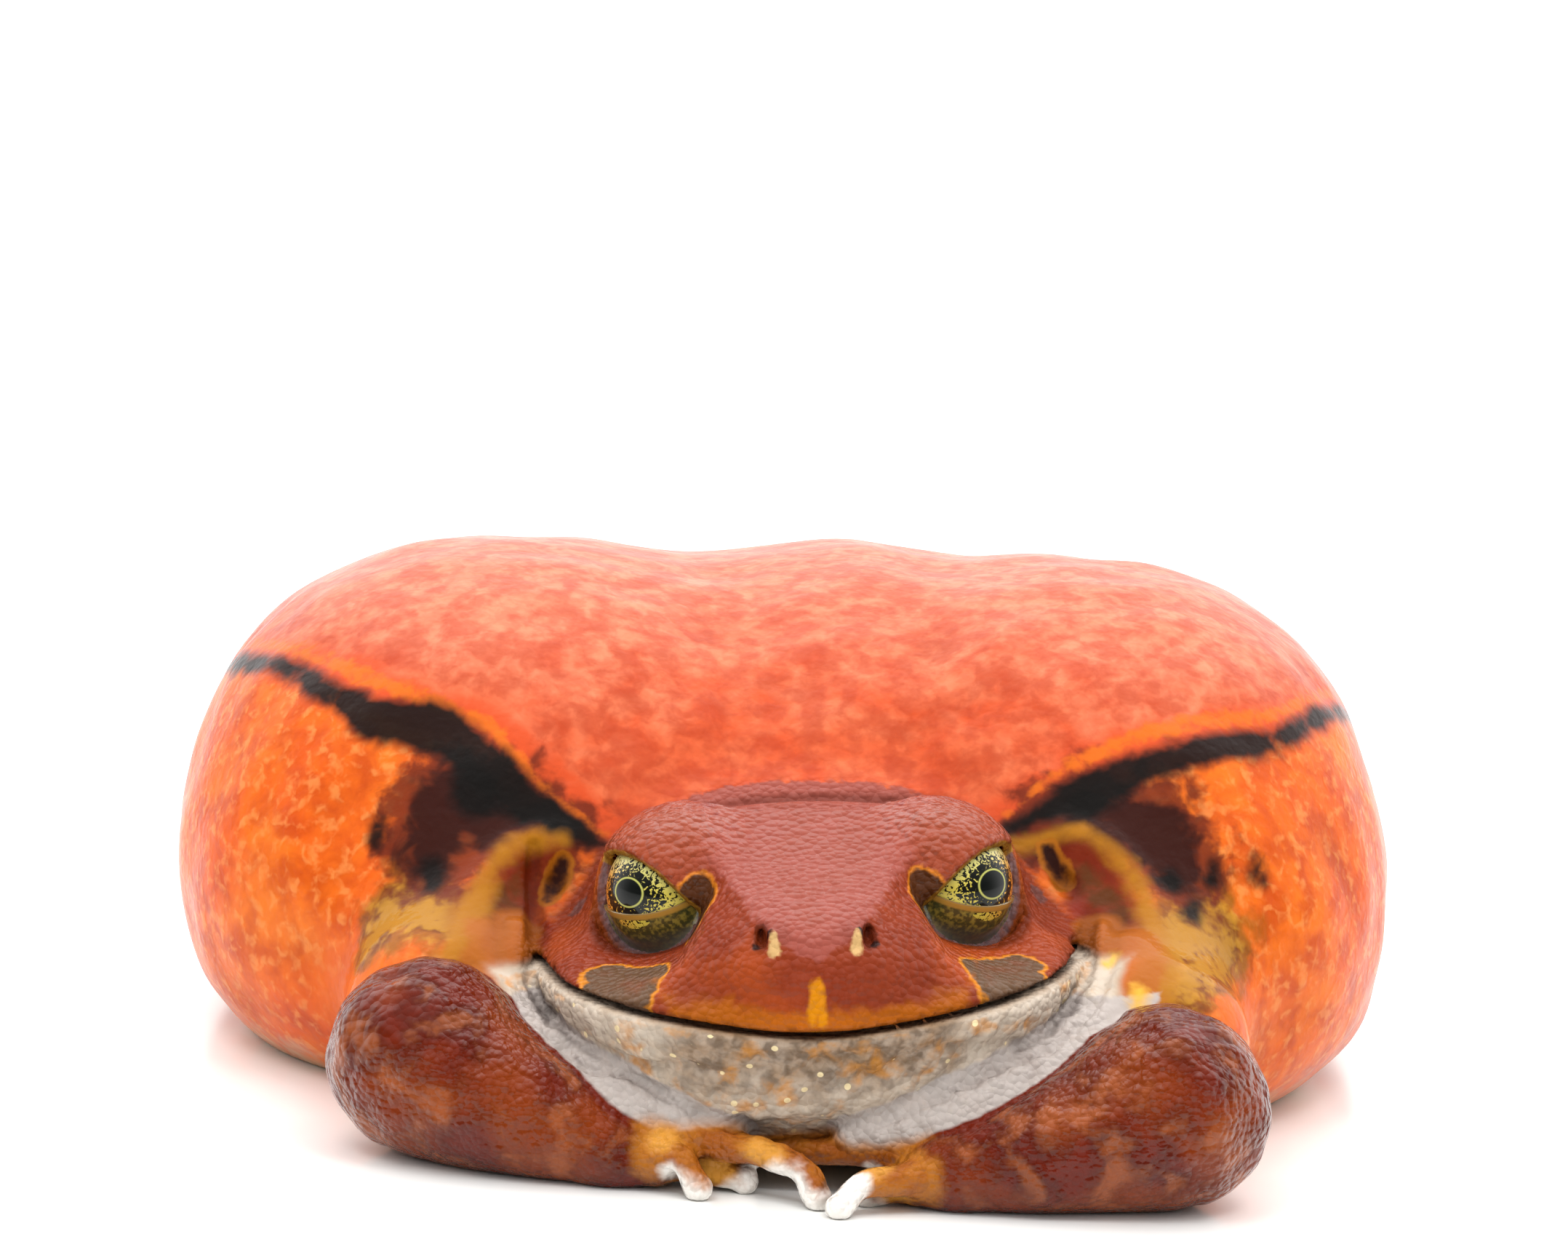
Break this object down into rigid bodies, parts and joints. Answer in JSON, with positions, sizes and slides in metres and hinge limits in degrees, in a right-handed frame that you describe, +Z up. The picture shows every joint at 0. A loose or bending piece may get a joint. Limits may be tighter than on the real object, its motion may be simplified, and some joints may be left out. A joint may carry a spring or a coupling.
{
  "type": "tomato frog",
  "caption": "Life-size still model of a puffed-up tomato frog, crouched with its hands folded under its chin.",
  "frame": {"origin": "on the flat underside of the belly, midway between the flanks, at floor level", "axes": "+Z up from the floor, the nose points to -Y, +X is the frog's left side"},
  "size_m": [0.0814, 0.0913, 0.0337],
  "materials": {
    "trunk_skin": "moist orange-red skin, glossy",
    "head_skin": "moist brick-red granular skin, glossy",
    "throat_skin": "moist grey-brown mottled skin, glossy",
    "limb_skin": "moist maroon-brown skin, glossy",
    "eye": "wet clear eyeball over a gold and black iris"
  },
  "bodies": {
    "root": {"head": "head_skin", "lower_jaw": "throat_skin", "torso": "trunk_skin", "eye_right": "eye", "eye_left": "eye", "upper_arm_right": "limb_skin", "forearm_right": "limb_skin", "hand_right": "limb_skin", "thigh_right": "limb_skin", "shank_right": "limb_skin", "foot_right": "limb_skin", "upper_arm_left": "limb_skin", "forearm_left": "limb_skin", "hand_left": "limb_skin", "thigh_left": "limb_skin", "shank_left": "limb_skin", "foot_left": "limb_skin"}
  },
  "joints": []
}
